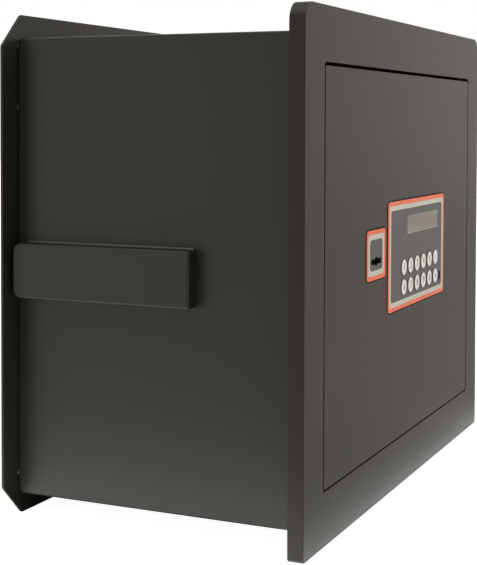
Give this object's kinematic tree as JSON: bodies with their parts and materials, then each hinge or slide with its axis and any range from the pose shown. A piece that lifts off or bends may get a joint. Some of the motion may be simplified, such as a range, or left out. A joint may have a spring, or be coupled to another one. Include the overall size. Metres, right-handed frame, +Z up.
{
  "type": "built-in safe",
  "caption": "Wall safe with a flush hinged door in a thick frame, a wide back plate, side anchors, a raised keypad with display, an emergency keyway and motor-driven bolts.",
  "frame": {"origin": "the middle of the bounding box, at the height of the lower edges of the front frame and the back plate", "axes": "+X to the right as seen from the front, +Y into the wall, +Z up; the door faces -Y"},
  "size_m": [0.4346, 0.2238, 0.35],
  "materials": {
    "frame_paint": "fine satin powder coat, dark warm grey",
    "body_paint": "satin powder coat, darker warm grey",
    "cover_paint": "fine satin powder coat",
    "mat_felt": "needled felt",
    "bronze": "machined",
    "bright_steel": "turned and polished",
    "plate_steel": "zinc-flashed sheet",
    "zinc": "bright zinc plating",
    "orange_plastic": "satin moulded plastic",
    "beige_plastic": "satin moulded plastic",
    "grey_plastic": "fine-grained moulded plastic",
    "window_plastic": "smoked warm grey window",
    "display": "liquid crystal display",
    "board": "circuit board with solder mask",
    "dome_rubber": "silicone dome mat",
    "black_plastic": "moulded black plastic",
    "black_steel": "black oxide",
    "ribbon": "grey ribbon",
    "cell_label": "plain sleeve",
    "key_plastic": "white moulded keys"
  },
  "bodies": {
    "safe_body": {"front_frame": "frame_paint", "body_shell": "body_paint", "back_plate": "body_paint", "left_anchor": "body_paint", "right_anchor": "body_paint", "floor_mat": "mat_felt", "hinge_bushes": "bronze", "hinge_washer": "bronze"},
    "door": {"door_leaf": "frame_paint", "hinge_pins": "bright_steel", "drill_plate": "plate_steel", "keypad_housing": "black_plastic", "keypad_bezel": "orange_plastic", "keypad_band": "beige_plastic", "keypad_face": "grey_plastic", "display_window": "window_plastic", "display_module": "display", "keypad_mat": "dome_rubber", "keypad_board": "board", "contact_socket": "black_plastic", "key_plate_bezel": "orange_plastic", "key_plate_band": "beige_plastic", "key_plate_face": "grey_plastic", "lock_housing": "zinc", "small_screws": "zinc", "bolt_guides": "plate_steel", "guide_studs": "zinc", "guide_screws": "zinc", "gearbox": "black_plastic", "motor": "zinc", "control_board": "board", "board_posts": "bronze", "ribbon_cable": "ribbon", "battery_box": "black_plastic", "batteries": "cell_label", "cover_posts": "zinc", "door_cover": "cover_paint", "cover_screws": "zinc"},
    "battery_lid": {"battery_lid": "black_plastic"},
    "emergency_lock": {"key_rotor": "black_plastic", "lock_cam": "bright_steel"},
    "bolt_work": {"bolt_carriage": "plate_steel", "upper_bolt": "bright_steel", "lower_bolt": "bright_steel", "bolt_screws": "black_steel", "drive_rack": "bronze"},
    "pinion": {"drive_pinion": "bronze"},
    "key_1": {"key_1": "key_plastic"},
    "key_2": {"key_2": "key_plastic"},
    "key_3": {"key_3": "key_plastic"},
    "key_4": {"key_4": "key_plastic"},
    "key_5": {"key_5": "key_plastic"},
    "key_enter": {"key_enter": "key_plastic"},
    "key_6": {"key_6": "key_plastic"},
    "key_7": {"key_7": "key_plastic"},
    "key_8": {"key_8": "key_plastic"},
    "key_9": {"key_9": "key_plastic"},
    "key_0": {"key_0": "key_plastic"},
    "key_clear": {"key_clear": "key_plastic"}
  },
  "joints": [
    {"name": "door_hinge", "type": "hinge", "parent": "safe_body", "child": "door", "pos_m": [0.16285, -0.10515, 0.17425], "axis": [0, 0, 1], "range_deg": [0, 100]},
    {"name": "bolt_slide", "type": "slide", "parent": "door", "child": "bolt_work", "axis": [-1, 0, 0], "range_m": [0, 0.016]},
    {"name": "pinion_spin", "type": "hinge", "parent": "door", "child": "pinion", "pos_m": [-0.012, -0.078, 0.11025], "axis": [0, -1, 0], "range_deg": [0, 116]},
    {"name": "rotor_turn", "type": "hinge", "parent": "door", "child": "emergency_lock", "pos_m": [-0.0756, -0.0885, 0.17585], "axis": [0, 1, 0], "range_deg": [0, 360]},
    {"name": "battery_lid_hinge", "type": "hinge", "parent": "door", "child": "battery_lid", "pos_m": [0.085, -0.06345, 0.129], "axis": [1, 0, 0], "range_deg": [0, 110]},
    {"name": "key_1_press", "type": "slide", "parent": "door", "child": "key_1", "axis": [0, 1, 0], "range_m": [0, 0.0008], "stiffness_N_per_m": 600, "springref_m": -0.0008},
    {"name": "key_2_press", "type": "slide", "parent": "door", "child": "key_2", "axis": [0, 1, 0], "range_m": [0, 0.0008], "stiffness_N_per_m": 600, "springref_m": -0.0008},
    {"name": "key_3_press", "type": "slide", "parent": "door", "child": "key_3", "axis": [0, 1, 0], "range_m": [0, 0.0008], "stiffness_N_per_m": 600, "springref_m": -0.0008},
    {"name": "key_4_press", "type": "slide", "parent": "door", "child": "key_4", "axis": [0, 1, 0], "range_m": [0, 0.0008], "stiffness_N_per_m": 600, "springref_m": -0.0008},
    {"name": "key_5_press", "type": "slide", "parent": "door", "child": "key_5", "axis": [0, 1, 0], "range_m": [0, 0.0008], "stiffness_N_per_m": 600, "springref_m": -0.0008},
    {"name": "key_enter_press", "type": "slide", "parent": "door", "child": "key_enter", "axis": [0, 1, 0], "range_m": [0, 0.0008], "stiffness_N_per_m": 600, "springref_m": -0.0008},
    {"name": "key_6_press", "type": "slide", "parent": "door", "child": "key_6", "axis": [0, 1, 0], "range_m": [0, 0.0008], "stiffness_N_per_m": 600, "springref_m": -0.0008},
    {"name": "key_7_press", "type": "slide", "parent": "door", "child": "key_7", "axis": [0, 1, 0], "range_m": [0, 0.0008], "stiffness_N_per_m": 600, "springref_m": -0.0008},
    {"name": "key_8_press", "type": "slide", "parent": "door", "child": "key_8", "axis": [0, 1, 0], "range_m": [0, 0.0008], "stiffness_N_per_m": 600, "springref_m": -0.0008},
    {"name": "key_9_press", "type": "slide", "parent": "door", "child": "key_9", "axis": [0, 1, 0], "range_m": [0, 0.0008], "stiffness_N_per_m": 600, "springref_m": -0.0008},
    {"name": "key_0_press", "type": "slide", "parent": "door", "child": "key_0", "axis": [0, 1, 0], "range_m": [0, 0.0008], "stiffness_N_per_m": 600, "springref_m": -0.0008},
    {"name": "key_clear_press", "type": "slide", "parent": "door", "child": "key_clear", "axis": [0, 1, 0], "range_m": [0, 0.0008], "stiffness_N_per_m": 600, "springref_m": -0.0008}
  ],
  "couplings": [
    {"joint": "pinion_spin", "follows": "bolt_slide", "rad_per_m": 125}
  ]
}
